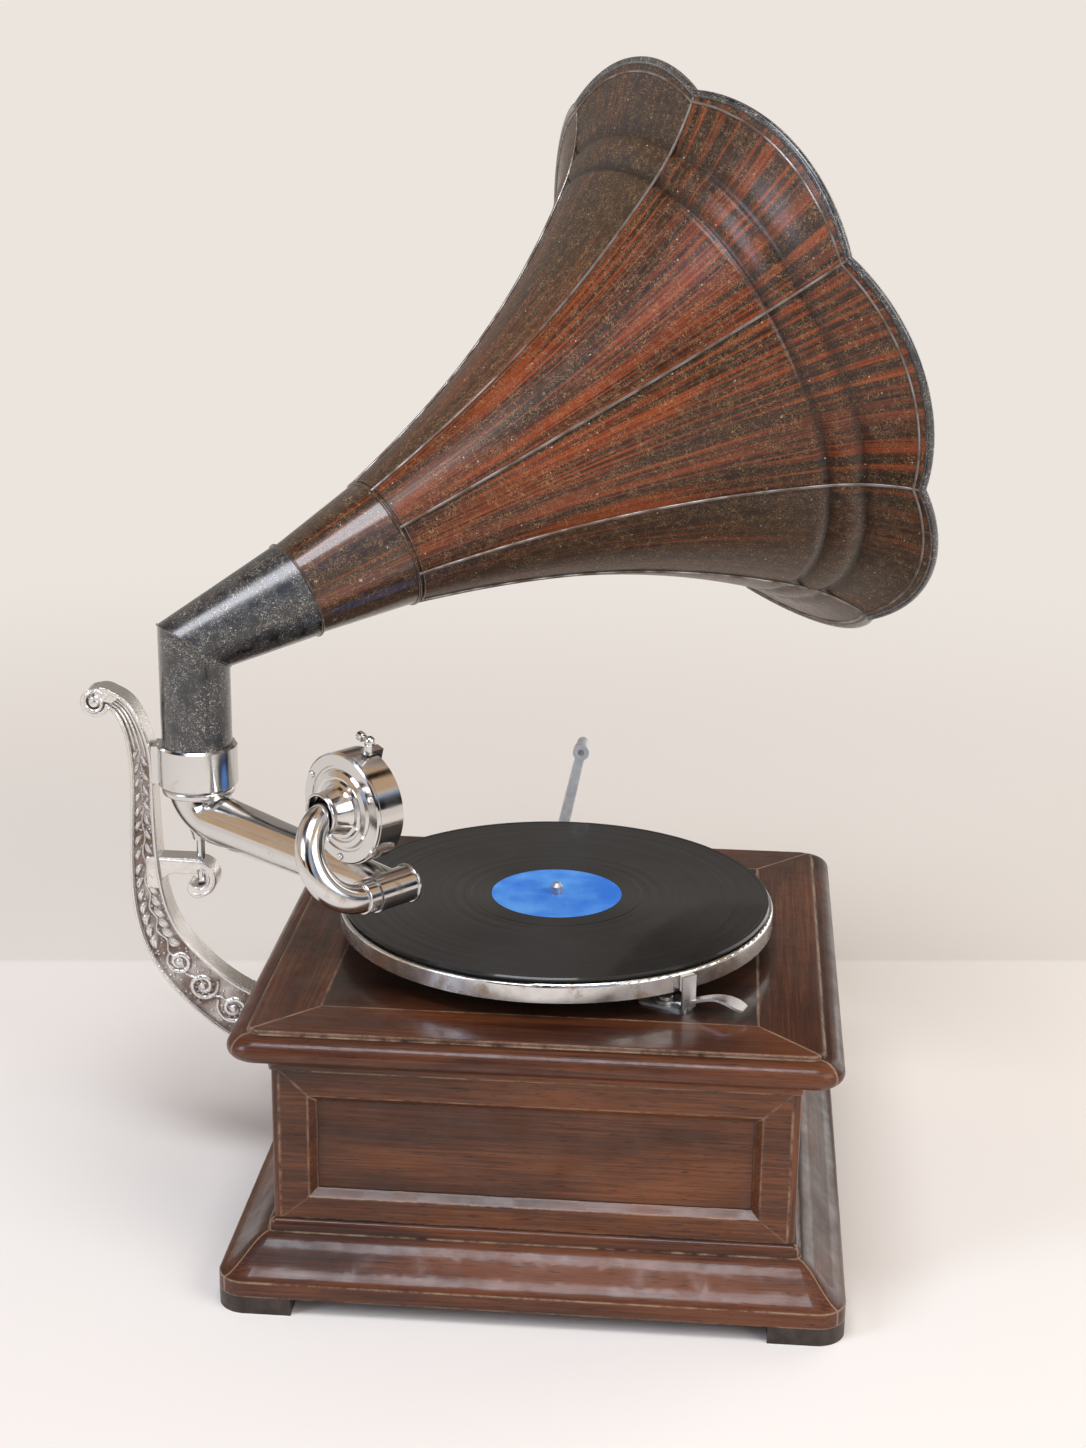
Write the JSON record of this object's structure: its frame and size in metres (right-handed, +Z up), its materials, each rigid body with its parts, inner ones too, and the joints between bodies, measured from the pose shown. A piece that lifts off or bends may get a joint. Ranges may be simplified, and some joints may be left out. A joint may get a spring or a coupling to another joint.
{
  "type": "gramophone",
  "caption": "Table gramophone with a panelled wooden case, petal horn on a scrolled bracket, swinging tone arm, hinged sound box, turntable, winding crank and brake.",
  "frame": {"origin": "floor under the middle of the case, on the turntable axis", "axes": "+Z up along the spindle, +X the front of the case away from the bracket, +Y the crank side"},
  "size_m": [0.4946, 0.5441, 0.6531],
  "materials": {
    "mahogany": "french polish, worn",
    "ebonised_wood": "black stain, scuffed",
    "pine": "bare",
    "nickel_plate": "polished nickel",
    "worn_nickel": "mottled nickel",
    "nickel_casting": "plated casting, brown in the recesses",
    "steel": "satin",
    "spring_steel": "blued",
    "brass": "satin",
    "grained_tin": "wood-grained paint, varnished",
    "black_tin": "worn black paint",
    "shellac": "pressed shellac",
    "label_paper": "plain blue paper",
    "felt": "wool felt",
    "leather_pad": "bare",
    "rubber": "soft",
    "mica": "clear sheet"
  },
  "bodies": {
    "cabinet": {"base_feet": "ebonised_wood", "plinth_mouldings": "mahogany", "bottom_board": "pine", "corner_posts": "mahogany", "side_frame_left": "mahogany", "side_frame_front": "mahogany", "side_frame_right": "mahogany", "side_frame_back": "mahogany", "side_panels": "mahogany", "cove_moulding": "mahogany", "top_rail_left": "mahogany", "top_rail_front": "mahogany", "top_rail_right": "mahogany", "top_rail_back": "mahogany", "motor_board": "mahogany", "support_bracket": "nickel_casting", "bracket_screws": "steel", "arm_pivot_pin": "nickel_plate", "horn_collar": "nickel_plate", "brake_base": "nickel_plate", "brake_pivot": "nickel_plate", "crank_bush": "brass", "motor_top_plate": "steel", "motor_lower_plate": "steel", "motor_pillars": "steel"},
    "turntable": {"turntable": "worn_nickel", "turntable_felt": "felt", "record": "shellac", "record_label": "label_paper", "spindle": "steel", "spindle_gears": "brass"},
    "intermediate": {"intermediate_wheel": "brass"},
    "barrel": {"spring_barrel": "steel", "mainspring": "spring_steel"},
    "governor": {"governor_shaft": "steel", "governor_springs": "spring_steel", "governor_weights": "brass"},
    "winding": {"winding_arbor": "steel"},
    "crank": {"crank_shaft": "steel", "crank_arm": "steel", "grip_stud": "steel"},
    "crank_grip": {"crank_grip": "steel"},
    "tone_arm": {"tone_arm": "nickel_plate", "arm_cross_tube": "nickel_plate"},
    "gooseneck": {"gooseneck": "nickel_plate", "soundbox_back": "nickel_plate", "soundbox_rim": "nickel_plate", "soundbox_screws": "nickel_plate", "soundbox_gaskets": "rubber", "diaphragm": "mica", "throat_bush": "rubber", "stylus_bar": "nickel_plate"},
    "needle_screw": {"needle_screw": "nickel_plate"},
    "horn": {"horn_elbow": "black_tin", "horn_neck": "grained_tin", "horn_petals": "grained_tin", "horn_seams": "grained_tin", "horn_rim": "grained_tin"},
    "brake": {"brake_lever": "nickel_plate", "brake_pad": "leather_pad"}
  },
  "joints": [
    {"name": "turntable_spin", "type": "hinge", "parent": "cabinet", "child": "turntable", "pos_m": [0, 0, 0.172], "axis": [0, 0, 1], "continuous": true},
    {"name": "intermediate_spin", "type": "hinge", "parent": "cabinet", "child": "intermediate", "pos_m": [0.0245, 0.02839, 0.11], "axis": [0, 0, 1], "continuous": true},
    {"name": "barrel_spin", "type": "hinge", "parent": "cabinet", "child": "barrel", "pos_m": [-0.02, 0.045, 0.09], "axis": [0, 0, 1], "continuous": true},
    {"name": "governor_spin", "type": "hinge", "parent": "cabinet", "child": "governor", "pos_m": [0, -0.0265, 0.104], "axis": [1, 0, 0], "continuous": true},
    {"name": "crank_turn", "type": "hinge", "parent": "cabinet", "child": "crank", "pos_m": [-0.02, 0.16, 0.1155], "axis": [0, 1, 0], "continuous": true},
    {"name": "winding_turn", "type": "hinge", "parent": "cabinet", "child": "winding", "pos_m": [-0.02, 0.045, 0.1155], "axis": [0, 0, 1], "continuous": true},
    {"name": "grip_spin", "type": "hinge", "parent": "crank", "child": "crank_grip", "pos_m": [0.00079, 0.195, 0.21332], "axis": [0, 1, 0], "continuous": true},
    {"name": "tone_arm_swing", "type": "hinge", "parent": "cabinet", "child": "tone_arm", "pos_m": [-0.212, 0, 0.228], "axis": [0, 0, 1], "range_deg": [-12, 30]},
    {"name": "soundbox_lift", "type": "hinge", "parent": "tone_arm", "child": "gooseneck", "pos_m": [-0.08177, -0.10927, 0.228], "axis": [0.6428, 0.766, 0], "range_deg": [0, 123]},
    {"name": "needle_screw_turn", "type": "hinge", "parent": "gooseneck", "child": "needle_screw", "pos_m": [-0.09341, -0.1029, 0.30855], "axis": [-0.7399, 0.6209, 0.2588], "continuous": true},
    {"name": "horn_swing", "type": "hinge", "parent": "cabinet", "child": "horn", "pos_m": [-0.212, 0, 0.265], "axis": [0, 0, 1], "range_deg": [-80, 50]},
    {"name": "brake_swing", "type": "hinge", "parent": "cabinet", "child": "brake", "pos_m": [0.068, -0.095, 0.165], "axis": [0, 0, 1], "range_deg": [-25, 0]}
  ],
  "couplings": [
    {"joint": "intermediate_spin", "follows": "turntable_spin", "ratio": -0.25},
    {"joint": "barrel_spin", "follows": "turntable_spin", "ratio": 0.046875},
    {"joint": "governor_spin", "follows": "turntable_spin", "ratio": -10},
    {"joint": "winding_turn", "follows": "crank_turn", "ratio": 1}
  ]
}
